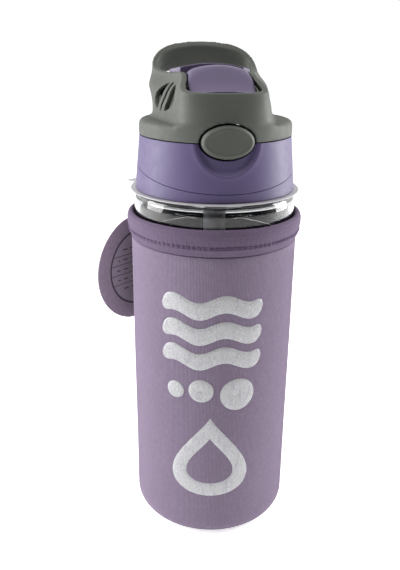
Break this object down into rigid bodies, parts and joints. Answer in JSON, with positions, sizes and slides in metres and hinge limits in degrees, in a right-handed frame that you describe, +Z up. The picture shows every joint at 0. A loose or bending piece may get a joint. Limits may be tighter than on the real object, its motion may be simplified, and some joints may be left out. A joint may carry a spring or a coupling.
{
  "type": "kids water bottle",
  "caption": "Kids water bottle: clear bottle in a lilac neoprene sleeve, screw-on flip-spout lid with push button and carrying loop, and a hang tag on the neck",
  "frame": {"origin": "centre of the sleeve's flat base, on the surface the bottle stands on", "axes": "+Z up along the bottle, the button faces -Y, the carrying loop reaches towards +Y"},
  "size_m": [0.0898, 0.0839, 0.2152],
  "materials": {
    "neoprene": "knit-faced neoprene, matte",
    "clear_plastic": "clear, glossy",
    "grey_soft_touch": "soft-touch, matte",
    "purple_plastic": "satin moulded",
    "inner_plastic": "plain moulded",
    "silicone": "translucent silicone",
    "card": "laminated card, printed",
    "steel": "drawn wire and pin"
  },
  "bodies": {
    "sleeve": {"sleeve_body": "neoprene", "sleeve_hem": "neoprene", "sleeve_base": "neoprene"},
    "bottle": {"bottle_shell": "clear_plastic"},
    "tag": {"hang_tag": "card"},
    "lid_seal": {"neck_gasket": "silicone"},
    "lid": {"lid_core": "inner_plastic", "collar_lower": "purple_plastic", "collar_upper": "purple_plastic", "top_cover": "grey_soft_touch", "rear_guard": "purple_plastic", "spout_seal": "silicone", "hinge_pin_left": "steel", "hinge_pin_right": "steel", "torsion_spring": "steel", "vent_valve": "silicone", "straw_socket": "inner_plastic", "straw": "inner_plastic", "button_spring": "steel"},
    "spout": {"spout_cover": "purple_plastic", "spout_arm": "inner_plastic", "mouthpiece": "silicone"},
    "button": {"push_button": "grey_soft_touch", "button_latch": "inner_plastic"}
  },
  "joints": [
    {"name": "bottle_lift", "type": "slide", "parent": "sleeve", "child": "bottle", "axis": [0, 0, 1], "range_m": [0, 0.15]},
    {"name": "tag_swivel", "type": "hinge", "parent": "bottle", "child": "tag", "pos_m": [0, 0, 0.1566], "axis": [0, 0, 1], "continuous": true},
    {"name": "lid_lift", "type": "slide", "parent": "bottle", "child": "lid_seal", "axis": [0, 0, 1], "range_m": [0, 0.17]},
    {"name": "lid_turn", "type": "hinge", "parent": "lid_seal", "child": "lid", "pos_m": [0, 0, 0.1707], "axis": [0, 0, 1], "range_deg": [0, 450]},
    {"name": "spout_flip", "type": "hinge", "parent": "lid", "child": "spout", "pos_m": [0, -0.001, 0.1955], "axis": [-1, 0, 0], "range_deg": [0, 100]},
    {"name": "button_press", "type": "slide", "parent": "lid", "child": "button", "axis": [0, 1, 0], "range_m": [0, 0.002], "stiffness_N_per_m": 300, "springref_m": -0.002, "deforming": ["button_spring"]}
  ]
}
